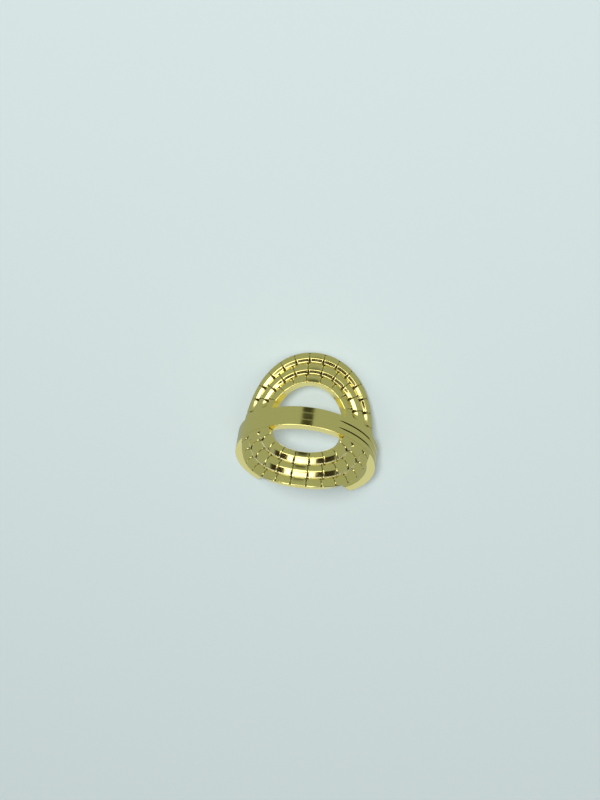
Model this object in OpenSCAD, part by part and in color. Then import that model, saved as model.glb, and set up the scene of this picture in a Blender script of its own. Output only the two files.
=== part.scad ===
// Adjustable open ring with a wide oval openwork front.
// One casting: a finger hoop that is open at the back, and an oval front of
// three brick-patterned rows wrapped on the hoop, with a plain grooved band
// across its middle. All sizes are in millimetres.
// The ring lies on its side: one tip of the oval and the two ends of the
// hoop touch the floor, z = 0. The front faces -Y and leans upwards.

/* [Finger hoop] */
// inside diameter, where the finger goes
hole_d = 17.4; // [15:0.1:21]
// thickness of the metal in the middle of the front
metal_t = 1.2; // [0.9:0.05:1.6]
// width of the hoop, which is also the width of the middle band
band_w = 2.96; // [2:0.02:4]
// opening at the back of the hoop, as an angle about the finger
gap_deg = 74; // [40:1:90]
// bevel along the hoop's outer edges
edge_bevel = 0.05; // [0.04:0.01:0.2]
// length of the corners cut off the hoop's two ends
end_corner = 0.8; // [0.6:0.05:1.1]

/* [Fine grooves of the band] */
// distance between the two grooves
groove_step = 1.08; // [0.6:0.02:1.6]
// width of one groove at the surface
groove_w = 0.14; // [0.06:0.01:0.3]
// depth of one groove
groove_depth = 0.09; // [0.04:0.01:0.2]

/* [Oval front] */
// length of the oval, along the finger
oval_len = 21.2; // [16:0.1:24]
// how far the oval reaches round the finger to each side, in degrees
oval_wrap = 65.6; // [50:0.1:70]
// length of the opening inside the rows, along the finger
window_len = 11.1; // [8:0.1:14]
// how far that opening reaches round the finger to each side, in degrees
window_wrap = 33; // [25:0.1:45]
// how much lower the oval's two tips lie than its middle
tip_drop = 0.45; // [0:0.05:0.6]
// distance from the ring's middle plane at which the row valleys end
plain_half = 2; // [1.5:0.05:3]
// height by which the hoop stands proud of the oval's plain sides
hoop_proud = 0.03; // [0.02:0.01:0.08]

/* [Brick rows] */
// bricks in one half of the oval: inner, middle and outer row
brick_n = [9, 11, 13]; // [5:2:15]
// pitch of the bricks in each row, in degrees of the oval's angle
brick_step = [17.7, 14.2, 11.8]; // [8:0.1:20]
// width of a valley between two rows
valley_w = 0.9; // [0.5:0.02:1.2]
// depth of a valley
valley_depth = 0.33; // [0.2:0.01:0.5]
// width and drop of the bevel along a brick's edges
brick_bevel = 0.1; // [0.04:0.01:0.2]
// width of the notch between two bricks
notch_w = 0.2; // [0.1:0.02:0.4]
// depth of the notch between two bricks
notch_depth = 0.2; // [0.1:0.02:0.35]

/* [Hidden] */
$fn = 96;
gold = [0.83, 0.69, 0.30];
hole_r = hole_d / 2;
hoop_r = hole_r + metal_t;
face_r = hoop_r - hoop_proud;
back_r = hole_r + hoop_proud;
half_turn = 180 - gap_deg / 2;
oval_half = oval_len / 2;
window_half = window_len / 2;
// length of the smooth run-out at a valley's end, in degrees of the oval's angle
valley_fade = 2.4;
// pitch of the columns across the plain sides, in degrees
plain_step = 3;

// pose at rest: the lean that puts an oval tip and the hoop's ends on the floor
end_turn = half_turn - end_corner / hoop_r * 180 / PI;
end_n = (hoop_r - edge_bevel) * cos(end_turn);
lean = atan((oval_half - band_w / 2) / (back_r - end_n));
function height(n, a) = n * sin(lean) - a * cos(lean);
function depth(n, a) = n * cos(lean) + a * sin(lean);
floor_z = min(height(back_r, oval_half), height(end_n, band_w / 2),
              height(hoop_r * cos(end_turn), band_w / 2 - edge_bevel));
tip_r = face_r - tip_drop;
front_y = depth(tip_r, oval_half - brick_bevel);
back_y = min(depth(hoop_r * cos(half_turn), -(band_w / 2 - end_corner)),
             depth(hoop_r * cos(end_turn), -(band_w / 2 - edge_bevel)));
centre_y = (front_y + back_y) / 2;

// The oval front is one grid. Its columns run round the oval by angle phi,
// 0 and 180 at the two tips. Its lines run across the metal.

// angle from the nearer tip, 0 to 90
function tip_angle(phi) = 90 - abs(90 - phi % 180);
// half length and half wrap of the oval through fraction f, 0 inside to 1 outside
function half_len(f) = window_half + f * (oval_half - window_half);
function half_wrap(f) = window_wrap + f * (oval_wrap - window_wrap);
// position along the finger
function along(f, phi) = half_len(f) * cos(phi);
// radius of the domed outer surface
function dome(a) = face_r - tip_drop * pow(a / oval_half, 2);
// width of the metal between window and outer edge, taken along the oval's angle
function rim_w(phi) = let (da = (oval_half - window_half) * cos(phi),
                           ds = (oval_wrap - window_wrap) * PI / 180 * face_r * sin(phi))
    sqrt(da * da + ds * ds);
// 1 where the valleys are at full depth, 0 where the side is plain
function relief(f, phi) = let (last = acos(plain_half / half_len(f)))
    min(1, max(0, (last - tip_angle(phi)) / valley_fade));

// lines of one column: [fraction, drop], from window edge to outer edge
function row_lines(k, phi) = let (
        w = rim_w(phi), v = valley_w / w, row = (1 - 2 * v) / 3, b = brick_bevel / w,
        lo = k * (row + v), hi = lo + row,
        cut = notch(k, phi) * notch_depth,
        near = k == 0 ? 1 : relief(lo - v / 2, phi),
        far = k == 2 ? 1 : relief(hi + v / 2, phi))
    [[lo, near * brick_bevel + cut], [lo + b, cut], [hi - b, cut],
     [hi, far * brick_bevel + cut]];
function valley_line(k, phi) = let (
        v = valley_w / rim_w(phi), row = (1 - 2 * v) / 3, f = k * (row + v) - v / 2)
    [[f, relief(f, phi) * valley_depth]];
function column(phi) = concat(
    row_lines(0, phi), valley_line(1, phi), row_lines(1, phi), valley_line(2, phi),
    row_lines(2, phi));

// joints of row k are at odd halves of its pitch, counted from each tip
function joints(k) = [for (j = [0.5 : 1 : brick_n[k] / 2]) j * brick_step[k]];
function notch_half(k) = notch_w / 2 / half_len((k + 0.5) / 3) * 180 / PI;
function notch(k, phi) = max([for (j = joints(k))
    if (j <= joint_end(k)) max(0, 1 - abs(tip_angle(phi) - j) / notch_half(k))]);
function joint_end(k) = acos(plain_half / half_len((k + 0.5) / 3)) - notch_half(k);

// columns of one quarter, from tip to side: both edges and the foot of each notch
quarter_marks = concat(
    [0, 90],
    [for (k = [0 : 2], j = joints(k)) if (j <= joint_end(k))
        each [j - notch_half(k), j, j + notch_half(k)]],
    [for (f = [0.3, 0.7]) let (last = acos(plain_half / half_len(f)))
        each [last - valley_fade, last]],
    [for (p = [81 : plain_step : 87]) p]);
function sorted(v) = len(v) < 2 ? v : let (p = v[floor(len(v) / 2)])
    concat(sorted([for (x = v) if (x < p) x]), [p], sorted([for (x = v) if (x > p) x]));
quarter = sorted(quarter_marks);
last_mark = len(quarter) - 1;
columns = concat(
    quarter,
    [for (i = [last_mark - 1 : -1 : 0]) 180 - quarter[i]],
    [for (i = [1 : last_mark]) 180 + quarter[i]],
    [for (i = [last_mark - 1 : -1 : 1]) 360 - quarter[i]]);

// a point at angle theta round the finger, radius r, and a along the finger
function wrapped(theta, r, a) = [r * sin(theta), r * cos(theta), -a];
// a point on the finger's side of the metal
function under(f, phi) = wrapped(half_wrap(f) * sin(phi), back_r, along(f, phi));
function column_points(phi) = let (c = column(phi)) concat(
    [under(0, phi)],
    [for (p = c) let (a = along(p[0], phi))
        wrapped(half_wrap(p[0]) * sin(phi), dome(a) - p[1], a)],
    [for (f = [1 : -0.25 : 0.25]) under(f, phi)]);

module oval_front() {
    grid = [for (phi = columns) column_points(phi)];
    m = len(grid);
    n = len(grid[0]);
    polyhedron(
        points = [for (c = grid) each c],
        faces = [for (i = [0 : m - 1], j = [0 : n - 1]) let (
                i2 = (i + 1) % m, j2 = (j + 1) % n,
                p = i * n + j, q = i2 * n + j, s = i2 * n + j2, t = i * n + j2)
            each [[p, s, q], [p, t, s]]],
        convexity = 12);
}

// cross-section of the hoop: radius to the right, finger direction up
module hoop_section() {
    h = band_w / 2;
    g = groove_step / 2;
    w = groove_w / 2;
    polygon([
        [hole_r, -h],
        [hoop_r - edge_bevel, -h], [hoop_r, -h + edge_bevel],
        [hoop_r, -g - w], [hoop_r - groove_depth, -g], [hoop_r, -g + w],
        [hoop_r, g - w], [hoop_r - groove_depth, g], [hoop_r, g + w],
        [hoop_r, h - edge_bevel], [hoop_r - edge_bevel, h],
        [hole_r, h]]);
}

// one corner cut: a square bar across the metal, turned on its edge
module corner_cut(side) {
    bar = end_corner * sqrt(2);
    rotate([0, 0, 90 - half_turn])
        translate([0, 0, side * band_w / 2])
            rotate([45, 0, 0])
                translate([hole_r - metal_t, -bar / 2, -bar / 2])
                    cube([3 * metal_t, bar, bar]);
}

module hoop() {
    difference() {
        rotate([0, 0, 90 - half_turn])
            rotate_extrude(angle = 2 * half_turn)
                hoop_section();
        for (end = [0, 1], side = [-1, 1])
            mirror([end, 0, 0])
                corner_cut(side);
    }
}

module ring() {
    color(gold)
        translate([0, centre_y, -floor_z])
            rotate([0, 0, 180])
                rotate([lean, 0, 0])
                    union() {
                        hoop();
                        oval_front();
                    }
}

ring();
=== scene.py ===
import math

import bmesh
import bpy
from mathutils import Matrix, Vector


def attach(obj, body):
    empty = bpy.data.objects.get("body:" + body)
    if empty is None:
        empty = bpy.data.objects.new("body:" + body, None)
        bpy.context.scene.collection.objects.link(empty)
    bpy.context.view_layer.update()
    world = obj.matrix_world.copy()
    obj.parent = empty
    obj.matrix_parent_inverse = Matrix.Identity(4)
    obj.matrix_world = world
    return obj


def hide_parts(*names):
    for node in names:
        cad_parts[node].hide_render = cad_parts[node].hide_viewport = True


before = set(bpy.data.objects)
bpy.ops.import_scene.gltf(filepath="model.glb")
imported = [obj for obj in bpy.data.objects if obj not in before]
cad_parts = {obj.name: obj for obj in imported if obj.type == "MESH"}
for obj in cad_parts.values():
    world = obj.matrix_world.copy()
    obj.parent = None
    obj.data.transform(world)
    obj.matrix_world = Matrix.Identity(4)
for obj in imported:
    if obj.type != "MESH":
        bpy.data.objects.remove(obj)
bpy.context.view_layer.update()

print("adjustable open ring: frame loaded")

# How the ring lies. Pieces are shaped in the ring's own measures, in mm:
# a turn about the finger, a radius, and a place along the finger.
lying = {
    "lean": 29.54142,    # degrees from upright
    "axisY": 3.07926,    # middle of the finger hole, in mm
    "axisZ": 4.91765,
}
leanCos = math.cos(math.radians(lying["lean"]))
leanSin = math.sin(math.radians(lying["lean"]))
mmPerMetre = 1000


def layDirection(side, along, front):  # sideways, along the finger, out of the front
    return Vector((-side,
                   -front * leanCos - along * leanSin,
                   front * leanSin - along * leanCos))


def layPoint(turn, radius, along):  # turn in radians, the rest in mm
    place = layDirection(radius * math.sin(turn), along, radius * math.cos(turn))
    return (place + Vector((0, lying["axisY"], lying["axisZ"]))) / mmPerMetre


# the camera comes first
photoCamera = {
    "picture": (600, 800),      # pixels, wide and high
    "distance": 0.300,          # metres from the middle of the ring
    "tilt": 60.857,             # degrees above the finger's direction
    "yaw": 5.104,
    "roll": -2.711,
    "focal": 2127.6,            # pixels
    "ringAt": (306.4, 451.4),   # where the middle of the ring falls in the picture
    "sensor": 36,               # mm, along the picture's long side
    "clip": (0.01, 20),         # metres
}


def addCamera(settings):
    tilt, yaw, roll = (math.radians(settings[k]) for k in ("tilt", "yaw", "roll"))
    acrossSide = Vector((math.cos(yaw), math.sin(yaw), 0))
    acrossAlong = Vector((-math.sin(yaw), math.cos(yaw), 0))
    front = Vector((0, 0, 1))
    climb = acrossAlong * math.sin(tilt) + front * math.cos(tilt)
    ahead = acrossAlong * math.cos(tilt) - front * math.sin(tilt)
    right = acrossSide * math.cos(roll) - climb * math.sin(roll)
    up = acrossSide * math.sin(roll) + climb * math.cos(roll)
    right, up, back = (layDirection(*v) for v in (right, up, -ahead))
    turn = Matrix((right, up, back)).transposed()
    # the ring stands off the picture's middle, so the camera is turned a little aside
    (wide, high), (ringX, ringY) = settings["picture"], settings["ringAt"]
    aim = Vector((ringX - wide / 2, high / 2 - ringY, -settings["focal"]))
    nudge = Vector((0, 0, -1)).rotation_difference(aim.normalized()).to_matrix()
    data = bpy.data.cameras.new("photoCamera")
    data.sensor_width = settings["sensor"]
    data.lens = settings["focal"] / high * settings["sensor"]
    data.clip_start, data.clip_end = settings["clip"]
    camera = bpy.data.objects.new("photoCamera", data)
    bpy.context.scene.collection.objects.link(camera)
    place = (turn @ nudge.transposed()).to_4x4()
    middle = Vector((0, lying["axisY"], lying["axisZ"])) / mmPerMetre
    place.translation = middle + back * settings["distance"]
    camera.matrix_world = place
    bpy.context.scene.camera = camera


addCamera(photoCamera)
print("camera placed")


# what both pieces of the ring use
mergeWithin = 2e-7  # metres


def mixed(a, b, part):
    return a + (b - a) * part


def risen(value, start, over):  # 0 up to start, 1 from start + over on
    return min(max((value - start) / over, 0), 1)


def faded(value, end, over):  # 1 up to end - over, 0 from end on
    return min(max((end - value) / over, 0), 1)


def everything(bm):
    return bm.verts[:] + bm.edges[:] + bm.faces[:]


def finishMesh(bm, name, sharpFrom):  # edges that turn by more degrees stay sharp
    bmesh.ops.remove_doubles(bm, verts=bm.verts, dist=mergeWithin)
    bmesh.ops.recalc_face_normals(bm, faces=bm.faces)
    sharp = math.radians(sharpFrom)
    for edge in bm.edges:
        edge.smooth = len(edge.link_faces) == 2 and edge.calc_face_angle(0) < sharp
    for face in bm.faces:
        face.smooth = True
    mesh = bpy.data.meshes.new(name)
    bm.to_mesh(mesh)
    bm.free()
    piece = bpy.data.objects.new(name, mesh)
    bpy.context.scene.collection.objects.link(piece)
    return piece


# oval front: three rows of bricks round two windows, in mm and degrees
ovalFront = {
    "faceRadius": 9.895,
    "backRadius": 8.73,
    "halfLength": (5.55, 10.60),    # window edge and outer edge, along the finger
    "halfWrap": (33.0, 65.5),       # the same two edges, round the finger
    "tipDrop": 0.45,                # how much lower the tips lie than the middle
    "valleyWidth": 0.90,
    "valleyDepth": 0.33,
    "valleyLow": 0.63,              # place of its lowest line, in widths from the inner row
    "plainHalf": 2.0,               # the valleys stop this far from the middle plane
    "plainSoft": (0.06, 0.6),       # how softly, at a joint and what a row adds to that
    "underHoop": (1.38, 0.16),      # this near the middle plane the face is sunk, and how far
    "brickPitch": (17.7, 14.2, 11.8),   # inner, middle, outer row
    "jointCount": (4, 5, 7),        # joints from a tip to a side, in each row
    "jointHalf": 0.025,             # half the gap between two bricks
    "brickCorner": 0.24,            # corner radius of a brick
    "brickCrown": 0.012,            # how much lower a brick's long edges lie than its middle
    # a flank: where it starts inside the brick, its width, its depth, and the
    # shares of the width over which it turns down and out again
    "outwardFlank": (0.28, 0.95, 0.36, 0.12, 0.05),
    "inwardFlank": (0.12, 0.55, 0.36, 0.20, 0.35),
    "jointFlank": (0.02, 0.07, 0.12, 0.30, 0.30),   # at a brick's ends
    "rimFlank": (0.06, 0.14, 0.07, 0.30, 0.40),     # along the walls
    "flankFrom": (0.03, 0.05),      # depth at which a flank begins to count, and over which
    # where a joint runs down a flank it is a wider notch. Places across a row are in
    # half rows from its middle
    "jointNotch": (0.12, 0.10),     # its half width and its depth
    "widens": (0.3, 0.3),           # place from which it widens outwards, and over which
    "rimWidens": (-0.05, 0.55, 0.2),    # by a wall: first and last place, and over which
    "wallPull": (0.05, 0.6),        # reach into the outer wall, and down to which share of it
    # soil and painted shade: its width beside a joint, and how many widths it reaches
    "flankSoilAndShade": (0.11, 1.8),
    "valleySoilAndShade": (0.12, 2.2),
    "valleySoilAndShadeFrom": (0.13, 0.04),     # depth at which it begins, and over which
    "rimSoilAndShade": (0.08, 2.0),
    "rimSoilAndShadeFrom": (0.5, 0.2),      # the same by the outer wall, as a place across the row
    "lineSoilAndShade": (0.10, 0.58),       # strength of the soil and painted shade on the brick tops, on one loop and the other
    "lineEnd": (0.12, 0.05),        # where it ends beside the joint, and over which
    "soilAndShadeEndFrom": 0.03,              # on a joint's side nearer the floor the soil and painted shade end here
    # on one loop the valley's foot is less polished, where there is less soil and painted shade
    # than this
    "satinUnder": 0.15,
    "satinFrom": (0.28, 0.03),      # depth at which it begins, and over which
    "satinLoop": 2.5,               # how quickly it comes in from the sides
    # the mesh: columns run across the rows, and lines along them
    "columnStep": 0.5,
    "jointColumns": (0, -0.04, 0.04, -0.09, 0.09),  # distances from a joint's middle
    "columnGap": (0.08, 0.24),      # least angle between joint columns, and to an even one
    # lines from a row's middle, 0, to the middle of its valley or its wall, 1
    "topLines": (0.0, 0.15, 0.28, 0.36, 0.40, 0.44, 0.48, 0.52, 0.57, 0.63, 0.70, 0.78, 0.86,
                 0.93, 1.0),
    "rowEdge": 0.49,                # the line that lies on the row's own edge
    # by a wall the lines past the first place are gathered: their share of all places,
    # and the width in mm that they fill
    "rimLines": (0.42, 0.58, 0.12),
    "wallLines": (0.04, 0.12, 0.5, 0.95),
    "underLines": (1.0, 0.86, 0.72, 0.58, 0.44, 0.3, 0.15, 0.0),
    "bendRadius": 4,                # of the plain ring of metal that the mesh starts as
    "sharpFrom": 38,
}


def halfLength(f):  # f runs from the window edge, 0, to the outer edge, 1
    return mixed(*ovalFront["halfLength"], f)


def halfWrap(f):  # radians
    return math.radians(mixed(*ovalFront["halfWrap"], f))


def rimWidth(phi):  # millimetres of metal between window and outer edge
    down = (halfLength(1) - halfLength(0)) * math.cos(math.radians(phi))
    over = (halfWrap(1) - halfWrap(0)) * ovalFront["faceRadius"] * math.sin(math.radians(phi))
    return math.hypot(down, over)


def rowPlace(row, phi):  # width of a row, and its middle from the window edge
    valley = ovalFront["valleyWidth"]
    rowWidth = (rimWidth(phi) - 2 * valley) / 3
    return rowWidth, row * (rowWidth + valley) + rowWidth / 2


def byWall(row, past):
    return (row == 0 and past < 0) or (row == 2 and past > 0)


def joinSoftly(a, b, reach):  # the lower of two, rounded where they meet
    near = max(reach - abs(a - b), 0) / reach
    return min(a, b) - near * near * reach / 4


def flankDrop(across, first, second):
    # 0 at the top of a flank to 1 at its foot, straight between two bends
    across = min(max(across, 0), 1)
    slope = 1 / (1 - (first + second) / 2)
    if across < first:
        return slope * across * across / first / 2
    if across > 1 - second:
        return 1 - slope * (1 - across) ** 2 / second / 2
    return slope * (across - first / 2)


def rowDrop(past, half, toJoint, toPlain, toWall):
    # how far a row's face lies below its brick tops, how much wider than on the
    # top a joint is there, and how far the spot is on a flank
    corner = ovalFront["brickCorner"]
    crown = ovalFront["brickCrown"] * min(1, (past / half) ** 2)
    overEnd = ovalFront["jointHalf"] - toJoint + corner
    overSide = abs(past) - half + corner
    overBoth = math.hypot(max(overEnd, 0), max(overSide, 0))
    outside = overBoth + min(max(overEnd, overSide), 0) - corner
    if overBoth > 1e-6:
        atEnd = (max(overEnd, 0) / overBoth) ** 2
    else:
        atEnd = 1.0 if overEnd > overSide else 0.0
    jointSoft, rowSoft = ovalFront["plainSoft"]
    outside = joinSoftly(outside, toPlain, jointSoft + rowSoft * (1 - atEnd))
    flank = ovalFront["outwardFlank"] if past > 0 else ovalFront["inwardFlank"]
    if toWall:
        flank = ovalFront["rimFlank"]
    start, wide, depth, first, second = (mixed(a, b, atEnd)
                                         for a, b in zip(flank, ovalFront["jointFlank"]))
    drop = crown * min(max(toPlain, 0), 1)
    drop += depth * flankDrop((outside + start) / wide, first, second)
    # on the side away from the window a joint widens before it leaves the brick's top
    if toWall:
        nearest, farthest, over = ovalFront["rimWidens"]
        widened = min(risen(past / half, nearest, over), faded(past / half, farthest, over))
        onFlank = 0.0
    else:
        onFlank = risen(drop, *ovalFront["flankFrom"])
        widened = max(risen(past / half, *ovalFront["widens"]), onFlank)
    notchHalf, notchDepth = ovalFront["jointNotch"]
    drop += notchDepth * max(1 - toJoint / notchHalf, 0) * widened
    return drop, widened, onFlank


def soilAndShadeBeside(toJoint, width, reach):  # 1 near a joint, 0 from width x reach on
    return min(max(reach - toJoint / width, 0), 1)


def brickDrop(f, phi):
    # how far the face lies below the brick tops, and how it looks there: up to 1
    # for the soil and painted shade of a joint, down to -1 for a less polished valley
    rad = math.radians(phi)
    perDegree = math.hypot(halfLength(f) * math.sin(rad),
                           halfWrap(f) * ovalFront["faceRadius"] * math.cos(rad)) * math.pi / 180
    fromTip = 90 - abs(90 - phi % 180)
    toPlain = abs(halfLength(f) * math.cos(rad)) - ovalFront["plainHalf"]
    lowest, look = math.inf, 0.0
    for row in range(3):
        pitch, count = ovalFront["brickPitch"][row], ovalFront["jointCount"][row]
        index = min(max(round(fromTip / pitch - 0.5), 0), count - 1) + 0.5
        pastJoint = fromTip - index * pitch
        toJoint = abs(pastJoint) * perDegree
        rowWidth, middle = rowPlace(row, phi)
        past = f * rimWidth(phi) - middle
        toWall = byWall(row, past)
        drop, widened, onFlank = rowDrop(past, rowWidth / 2, toJoint, toPlain, toWall)
        if drop >= lowest:
            continue
        lowest = drop
        # soil and painted shade by the joints: lines on the brick tops, spots in the valleys and
        # by the outer wall
        line = mixed(*ovalFront["lineSoilAndShade"], 0.5 - 0.5 * math.cos(rad))
        line *= faded(toJoint, *ovalFront["lineEnd"])
        if toWall and past > 0:
            low = soilAndShadeBeside(toJoint, *ovalFront["rimSoilAndShade"])
            low *= risen(past / (rowWidth / 2), *ovalFront["rimSoilAndShadeFrom"])
        else:
            low = soilAndShadeBeside(toJoint, *ovalFront["valleySoilAndShade"])
            low *= risen(drop, *ovalFront["valleySoilAndShadeFrom"])
        if pastJoint * math.cos(rad) < 0 and toJoint > ovalFront["soilAndShadeEndFrom"]:
            look = max(low, line * (1 - widened))
        else:
            look = max(low, line, soilAndShadeBeside(toJoint, *ovalFront["flankSoilAndShade"]) * onFlank)
        if look < ovalFront["satinUnder"] and not toWall:
            loop = min(max(-ovalFront["satinLoop"] * math.cos(rad), 0), 1)
            look = -loop * risen(drop, *ovalFront["satinFrom"])
    return lowest, look


def quarterColumns():
    # from a tip, 0, to a side, 90: even columns, and closer ones on each joint
    joints = []
    for row in range(3):
        middle = halfLength((row + 0.5) / 3)
        for j in range(ovalFront["jointCount"][row]):
            joint = (j + 0.5) * ovalFront["brickPitch"][row]
            joints += [joint + math.degrees(off / middle) for off in ovalFront["jointColumns"]]
    leastGap, evenGap = ovalFront["columnGap"]
    kept = [0.0]
    for angle in sorted(joints):
        if angle - kept[-1] > leastGap:
            kept.append(angle)
    steps = round(90 / ovalFront["columnStep"])
    even = [90 * i / steps for i in range(1, steps)]
    even = [a for a in even if min(abs(a - k) for k in kept) > evenGap]
    return sorted(kept + even + [90.0])


def frontLines():
    # the section of the metal as (kind, row, place): across the top, down the
    # outer wall, back along the finger's side and up the window's wall
    lines = []
    for half in range(6):  # the six half rows, from the window out
        row, outward = half // 2, half % 2
        part = ovalFront["topLines"] if outward else ovalFront["topLines"][::-1]
        if outward or row:
            part = part[1:]
        lines += [("top", row, p if outward else -p) for p in part]
    lines += [("outer", 0, p) for p in ovalFront["wallLines"]]
    lines += [("under", 0, p) for p in ovalFront["underLines"]]
    lines += [("window", 0, p) for p in ovalFront["wallLines"][::-1]]
    return lines


def topFraction(row, place, phi):
    # place runs from the middle of a row, 0, to the middle of the valley or wall, 1
    rowWidth, middle = rowPlace(row, phi)
    edge, size = ovalFront["rowEdge"], abs(place)
    if byWall(row, place):
        # the lines meant for a flank are gathered on the softened edge
        first, share, width = ovalFront["rimLines"]
        if size > first:
            past = rowWidth / 2 - width * (1 - (size - first) / share) ** 2
        else:
            past = (rowWidth / 2 - width) * size / first
    elif size <= edge:
        past = rowWidth / 2 * size / edge
    else:
        low = ovalFront["valleyLow"] if place > 0 else 1 - ovalFront["valleyLow"]
        past = rowWidth / 2 + ovalFront["valleyWidth"] * low * (size - edge) / (1 - edge)
    return (middle + math.copysign(past, place)) / rimWidth(phi)


def plainRing(bm, corners, columns):
    # a quarter ring of metal, a circle with one corner for each line and spun a
    # quarter round, then mirrored twice
    weld = 1e-5
    section = bmesh.ops.create_circle(bm, segments=corners, radius=1.0)["verts"]
    bmesh.ops.rotate(bm, verts=section, cent=(0, 0, 0),
                     matrix=Matrix.Rotation(math.pi / 2, 3, "X"))
    bmesh.ops.translate(bm, verts=section, vec=(ovalFront["bendRadius"], 0, 0))
    bmesh.ops.spin(bm, geom=bm.verts[:] + bm.edges[:], cent=(0, 0, 0), axis=(0, 0, 1),
                   angle=math.pi / 2, steps=columns - 1, use_merge=False)
    for axis in ("X", "Y"):
        bmesh.ops.mirror(bm, geom=everything(bm), matrix=Matrix.Identity(4),
                         merge_dist=weld, axis=axis)
    bmesh.ops.remove_doubles(bm, verts=bm.verts, dist=weld)


def buildOvalFront():
    columns, lines = quarterColumns(), frontLines()
    bm = bmesh.new()
    plainRing(bm, len(lines), len(columns))
    recess = bm.verts.layers.float.new("recess")
    crease = bm.verts.layers.float.new("crease")
    face, back = ovalFront["faceRadius"], ovalFront["backRadius"]
    sunkHalf, sunk = ovalFront["underHoop"]
    pull, pullTo = ovalFront["wallPull"]
    for v in bm.verts:
        # which column and which line of the plain ring this is
        across = math.degrees(math.atan2(abs(v.co.y), abs(v.co.x)))
        phi = columns[round(across / 90 * (len(columns) - 1))]
        phi = phi if v.co.x > 0 else 180 - phi
        phi = phi if v.co.y > 0 else 360 - phi
        outward = math.hypot(v.co.x, v.co.y) - ovalFront["bendRadius"]
        spot = math.degrees(math.atan2(v.co.z, outward)) % 360
        kind, row, place = lines[round(spot / 360 * len(lines)) % len(lines)]
        rad = math.radians(phi)
        if kind == "top":
            f = topFraction(row, place, phi)
        elif kind == "under":
            f = place
        else:
            f = 1.0 if kind == "outer" else 0.0
        along = halfLength(f) * math.cos(rad)
        top = face - ovalFront["tipDrop"] * (along / ovalFront["halfLength"][1]) ** 2
        drop, look = (0.0, 0.0) if kind == "under" else brickDrop(f, phi)
        if kind == "top":
            radius = top - drop
            if abs(along) < sunkHalf:
                radius -= sunk
        elif kind == "under":
            radius = back
        else:
            edge = top - drop
            radius = edge + (back - edge) * place
            if kind == "outer" and place < pullTo:
                f -= min(1, look) * pull * (1 - place) / rimWidth(phi)
                along = halfLength(f) * math.cos(rad)
        v.co = layPoint(halfWrap(f) * math.sin(rad), radius, along)
        if kind == "top":
            v[recess] = min(1.0, drop / ovalFront["valleyDepth"])
            v[crease] = look
    return finishMesh(bm, "ovalFront", ovalFront["sharpFrom"])


front = buildOvalFront()
print("oval front:", len(front.data.polygons), "faces")


# hoop: a flat bar with two fine grooves, bent round the finger, in mm and degrees
hoopBar = {
    "outerRadius": 9.9,
    "thickness": 1.2,
    "halfWidth": 1.48,
    "halfTurn": 143.0,              # from the front to each end
    "endRound": (1.2, 10),          # plan radius of the corners at the ends, and its segments
    "outerBevel": 0.05,
    "innerBevel": 0.05,
    "bevelSegments": 3,
    "grooveAt": 0.54,               # distance of each groove from the middle
    "grooveHalf": 0.06,
    "grooveDepth": (0.014, 0.10),   # over the windows, and on the side where they run on
    "grooveSoilAndShade": (0.3, 1.0),       # soil and painted shade in the grooves, at the same two places
    "grooveSpread": 0.05,           # how much further each edge of a groove lies out there
    "deepFrom": (24.0, 33.0),       # turn over which they deepen
    "heldBy": 0.025,                # distance of the lines that hold the shading of the flats
    "columnStep": 2.0,
    "flush": (32.6, 63.6),          # between these turns the bar lies in the plain sides
    "sharpFrom": 34,
}


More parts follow.
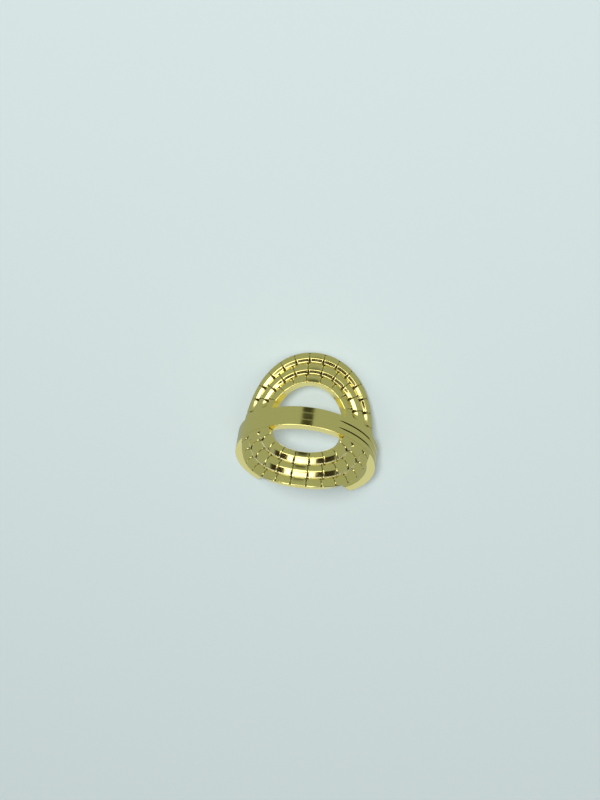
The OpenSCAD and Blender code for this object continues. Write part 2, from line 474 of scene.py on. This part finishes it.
def buildHoop():
    radius, thick = hoopBar["outerRadius"], hoopBar["thickness"]
    half, reach = hoopBar["halfWidth"], math.radians(hoopBar["halfTurn"]) * radius
    onTop, onLine = 1e-5, 1e-4  # how near counts as on the face, and as on a line
    bm = bmesh.new()
    bmesh.ops.create_cube(bm, size=2)
    bmesh.ops.scale(bm, verts=bm.verts, vec=(reach, half, thick / 2))
    bmesh.ops.translate(bm, verts=bm.verts, vec=(0, 0, -thick / 2))
    upright = [e for e in bm.edges if abs(e.verts[0].co.z - e.verts[1].co.z) > thick / 2]
    size, segments = hoopBar["endRound"]
    bmesh.ops.bevel(bm, geom=upright, offset=size, segments=segments, profile=0.5,
                    affect="EDGES", material=-1)
    for level, size in ((0.0, hoopBar["outerBevel"]), (-thick, hoopBar["innerBevel"])):
        rim = [e for e in bm.edges if all(abs(v.co.z - level) < onTop for v in e.verts)]
        bmesh.ops.bevel(bm, geom=rim, offset=size, segments=hoopBar["bevelSegments"],
                        profile=0.5, affect="EDGES", material=-1)
    at, wide, held = hoopBar["grooveAt"], hoopBar["grooveHalf"], hoopBar["heldBy"]
    beside = half - hoopBar["outerBevel"] - held
    columns = int(2 * hoopBar["halfTurn"] / hoopBar["columnStep"])
    cuts = [((0, y, 0), (0, 1, 0))
            for y in (-beside, -at - wide - held, -at - wide, -at, -at + wide, -at + wide + held,
                      at - wide - held, at - wide, at, at + wide, at + wide + held, beside)]
    cuts += [((-reach + 2 * reach * i / columns, 0, 0), (1, 0, 0)) for i in range(1, columns)]
    for place, across in cuts:
        bmesh.ops.bisect_plane(bm, geom=everything(bm), plane_co=place, plane_no=across)
    start, stop = hoopBar["flush"]
    deepFrom, deepTo = hoopBar["deepFrom"]
    crease = bm.verts.layers.float.new("crease")
    for v in bm.verts:
        turn = math.degrees(v.co.x / radius)
        run = risen(turn, deepFrom, deepTo - deepFrom)
        beyond = abs(v.co.y) - at
        if abs(v.co.z) < onTop and onLine < abs(beyond) < wide + held + onLine:
            v.co.y += math.copysign(hoopBar["grooveSpread"] * run, beyond * v.co.y)
        if abs(v.co.z) < onTop and abs(beyond) < onLine:
            v.co.z -= mixed(*hoopBar["grooveDepth"], run)
            # the groove's foot gets soil and painted shade
            v[crease] = mixed(*hoopBar["grooveSoilAndShade"], run)
        elif -hoopBar["outerBevel"] - onLine < v.co.z and start < abs(turn) < stop:
            v.co.z = 0.0
        v.co = layPoint(v.co.x / radius, radius + v.co.z, v.co.y)
    return finishMesh(bm, "fingerHoop", hoopBar["sharpFrom"])


hoop = buildHoop()
print("hoop:", len(hoop.data.polygons), "faces")


# gold finish
goldFinish = {
    "colour": (1.0, 0.85, 0.28, 1),
    # a paler tint painted into the valleys so that the highlights and reflections there come out
    # whiter and less orange
    "deepHighlightTint": (1.0, 0.90, 0.50, 1),
    "deepShare": 0.35,              # how much of it the deepest places take
    "polish": 0.10,                 # roughness, and what the hazier clouds add
    "rougher": 0.07,
    "cloudSize": 0.7,               # per mm
    "cloudDetail": 4,
    "cloudRange": (0.3, 0.7),
    "satin": 0.50,                  # added roughness at the foot of a valley
    "satinRange": (-0.1, -0.9),     # of the crease attribute
    "satinColour": (1.0, 0.92, 0.52, 1),
    "soilAndShade": 0.93,                   # polishing dirt left in the joints, and painted shade in the joints, grooves and valleys
    "soilAndShadeRange": (0.15, 0.85),      # of the crease attribute
    "soilAndShadeColour": (0.09, 0.07, 0.025, 1),
    "waveSize": 0.9,                # per mm
    "waveDetail": 2,
    "waveHeight": 0.0035,           # mm
}


def feed(links, socket, value):  # a link or a plain value
    if isinstance(value, bpy.types.NodeSocket):
        links.new(value, socket)
    else:
        socket.default_value = value


def addMath(nodes, links, operation, *values):
    node = nodes.new("ShaderNodeMath")
    node.operation = operation
    for i, value in enumerate(values):
        feed(links, node.inputs[i], value)
    return node.outputs["Value"]


def addMix(nodes, links, factor, a, b):
    node = nodes.new("ShaderNodeMix")
    node.data_type = "RGBA"
    for name, value in (("Factor", factor), ("A", a), ("B", b)):
        feed(links, node.inputs[name], value)
    return node.outputs["Result"]


def addRange(nodes, links, value, start, stop, low=0.0, high=1.0, kind="LINEAR"):
    node = nodes.new("ShaderNodeMapRange")
    node.interpolation_type = kind
    for name, number in (("From Min", start), ("From Max", stop), ("To Min", low),
                         ("To Max", high)):
        node.inputs[name].default_value = number
    links.new(value, node.inputs["Value"])
    return node.outputs["Result"]


def addNoise(nodes, links, place, scale, detail):
    node = nodes.new("ShaderNodeTexNoise")
    node.inputs["Scale"].default_value = scale
    node.inputs["Detail"].default_value = detail
    links.new(place, node.inputs["Vector"])
    return node.outputs["Fac"]


def addAttribute(nodes, name):
    node = nodes.new("ShaderNodeAttribute")
    node.attribute_name = name
    return node.outputs["Fac"]


def goldMaterial(settings):
    material = bpy.data.materials.new("polishedGold")
    material.use_nodes = True
    nodes, links = material.node_tree.nodes, material.node_tree.links
    shader = nodes["Principled BSDF"]
    shader.inputs["Metallic"].default_value = 1.0
    inMm = nodes.new("ShaderNodeMapping")
    inMm.inputs["Scale"].default_value = (mmPerMetre, mmPerMetre, mmPerMetre)
    links.new(nodes.new("ShaderNodeTexCoord").outputs["Object"], inMm.inputs["Vector"])
    place = inMm.outputs["Vector"]

    crease = addAttribute(nodes, "crease")
    satin = addRange(nodes, links, crease, *settings["satinRange"])
    # soil and painted shade: a dark colour laid into the joints, grooves and valley feet
    soilAndShade = addRange(nodes, links, crease, *settings["soilAndShadeRange"], high=settings["soilAndShade"],
                    kind="SMOOTHSTEP")
    depth = addMath(nodes, links, "MULTIPLY", addAttribute(nodes, "recess"),
                    settings["deepShare"])
    # painted paler tint in the valleys, for whiter highlights there
    colour = addMix(nodes, links, depth, settings["colour"], settings["deepHighlightTint"])
    colour = addMix(nodes, links, satin, colour, settings["satinColour"])
    colour = addMix(nodes, links, soilAndShade, colour, settings["soilAndShadeColour"])
    links.new(colour, shader.inputs["Base Color"])

    clouds = addNoise(nodes, links, place, settings["cloudSize"], settings["cloudDetail"])
    haze = addRange(nodes, links, clouds, *settings["cloudRange"], low=settings["polish"],
                    high=settings["polish"] + settings["rougher"])
    rough = addMath(nodes, links, "MULTIPLY_ADD", satin, settings["satin"], haze)
    links.new(rough, shader.inputs["Roughness"])

    bump = nodes.new("ShaderNodeBump")
    bump.inputs["Strength"].default_value = 1.0
    bump.inputs["Distance"].default_value = settings["waveHeight"] / mmPerMetre
    wave = addNoise(nodes, links, place, settings["waveSize"], settings["waveDetail"])
    links.new(wave, bump.inputs["Height"])
    links.new(bump.outputs["Normal"], shader.inputs["Normal"])
    return material


gold = goldMaterial(goldFinish)
for piece in (front, hoop):
    piece.data.materials.append(gold)
    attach(piece, "root")
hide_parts("ring")
print("gold finish applied")


# studio: floor, surroundings and two soft lamps
studio = {
    "floorSize": 0.6,               # radius in metres
    "floorSides": 96,
    "floorColour": (0.448, 0.518, 0.5215, 1),
    "floorGlow": (0.193, 0.2235, 0.217, 1),     # light that comes through the pale floor
    "floorRoughness": 0.9,
    "floorSpecular": 0.1,
    "room": (0.33, 0.387, 0.378),
    # name, watts, size and place in metres
    "lamps": (
        ("keyLight", 2.35, 0.10, (0.03, -0.29, 0.46)),   # close to the camera
        ("topLight", 0.75, 0.50, (0.0, 0.0, 0.45)),
    ),
    # bright and dark panels round the ring. Each has its rise about the ring,
    # from the finger's direction over the front, then its reach to the sides,
    # its softness both ways, all in degrees, and its colour
    "panels": (
        ("low", -155, -84, -55, 55, 8, 8, (0.60, 0.68, 0.80)),
        ("over", 84, 122, -45, 40, 3, 3, (2.8, 2.9, 2.9)),
        ("window", 118, 187, -34, 30, 3, 3, (2.8, 2.9, 3.0)),
        ("lens", 115, 147, -9, 16, 2, 2, (0.06, 0.055, 0.03)),
        ("lensLeft", 116, 147, -17, -9, 2, 2, (0.20, 0.22, 0.16)),
        ("lensRight", 94, 109, 5, 26, 1.5, 2, (0.06, 0.055, 0.03)),
        ("behindLeft", 96, 228, -71, -35, 3, 3, (0.03, 0.025, 0.015)),
        ("behindRight", 94, 228, 29, 78, 3, 3, (0.03, 0.025, 0.015)),
        ("card", 54, 68, -11, 5, 4, 1.2, (0.03, 0.033, 0.02)),
        ("belowLeft", -34, -8, -42, -16, 4, 4, (0.03, 0.025, 0.015)),
        ("belowRight", -34, -8, 16, 42, 4, 4, (0.03, 0.025, 0.015)),
    ),
    "liftedOver": 170,              # panels that rise above this are measured from 0 to 360
}


def addFloor():
    bm = bmesh.new()
    bmesh.ops.create_circle(bm, cap_ends=True, segments=studio["floorSides"],
                            radius=studio["floorSize"])
    mesh = bpy.data.meshes.new("studioFloor")
    bm.to_mesh(mesh)
    bm.free()
    floor = bpy.data.objects.new("studioFloor", mesh)
    bpy.context.scene.collection.objects.link(floor)
    material = bpy.data.materials.new("paleFloor")
    material.use_nodes = True
    shader = material.node_tree.nodes["Principled BSDF"]
    for name, value in (("Base Color", studio["floorColour"]),
                        ("Emission Color", studio["floorGlow"]), ("Emission Strength", 1.0),
                        ("Roughness", studio["floorRoughness"]),
                        ("Specular IOR Level", studio["floorSpecular"])):
        shader.inputs[name].default_value = value
    floor.data.materials.append(material)
    floor.visible_glossy = False


def addSurround():
    world = bpy.data.worlds.new("studioSurround")
    bpy.context.scene.world = world
    world.use_nodes = True
    nodes, links = world.node_tree.nodes, world.node_tree.links
    view = nodes.new("ShaderNodeTexCoord").outputs["Generated"]

    def part(direction):  # how far the view goes along one of the ring's own directions
        dot = nodes.new("ShaderNodeVectorMath")
        dot.operation = "DOT_PRODUCT"
        links.new(view, dot.inputs[0])
        dot.inputs[1].default_value = direction
        return dot.outputs["Value"]

    def inDegrees(operation, *values):
        return addMath(nodes, links, "DEGREES", addMath(nodes, links, operation, *values))

    def soften(value, start, stop):
        return addRange(nodes, links, value, start, stop, kind="SMOOTHSTEP")

    side, along, out = (part(layDirection(*v)) for v in ((1, 0, 0), (0, 1, 0), (0, 0, 1)))
    rise, reach = inDegrees("ARCTAN2", out, along), inDegrees("ARCSINE", side)
    lifted = addMath(nodes, links, "FLOORED_MODULO", rise, 360)  # the same from 0 to 360
    shade = (*studio["room"], 1)
    for name, low, high, left, right, soft, softSide, colour in studio["panels"]:
        up = lifted if high > studio["liftedOver"] else rise
        cover = soften(up, low - soft, low + soft)
        for edge in (soften(up, high + soft, high - soft),
                     soften(reach, left - softSide, left + softSide),
                     soften(reach, right + softSide, right - softSide)):
            cover = addMath(nodes, links, "MULTIPLY", cover, edge)
        shade = addMix(nodes, links, cover, shade, (*colour, 1))
        shade.node.name = name
    links.new(shade, nodes["Background"].inputs["Color"])
    world.cycles_visibility.diffuse = False  # the lamps light the floor


def addLamp(name, watts, size, place):
    data = bpy.data.lights.new(name, "AREA")
    data.shape = "DISK"
    data.size = size
    data.energy = watts
    lamp = bpy.data.objects.new(name, data)
    lamp.location = place
    lamp.rotation_euler = Vector(place).to_track_quat("Z", "Y").to_euler()
    lamp.visible_glossy = False
    bpy.context.scene.collection.objects.link(lamp)


addFloor()
addSurround()
for lamp in studio["lamps"]:
    addLamp(*lamp)
bpy.context.scene.view_settings.view_transform = "Standard"
print("studio set")
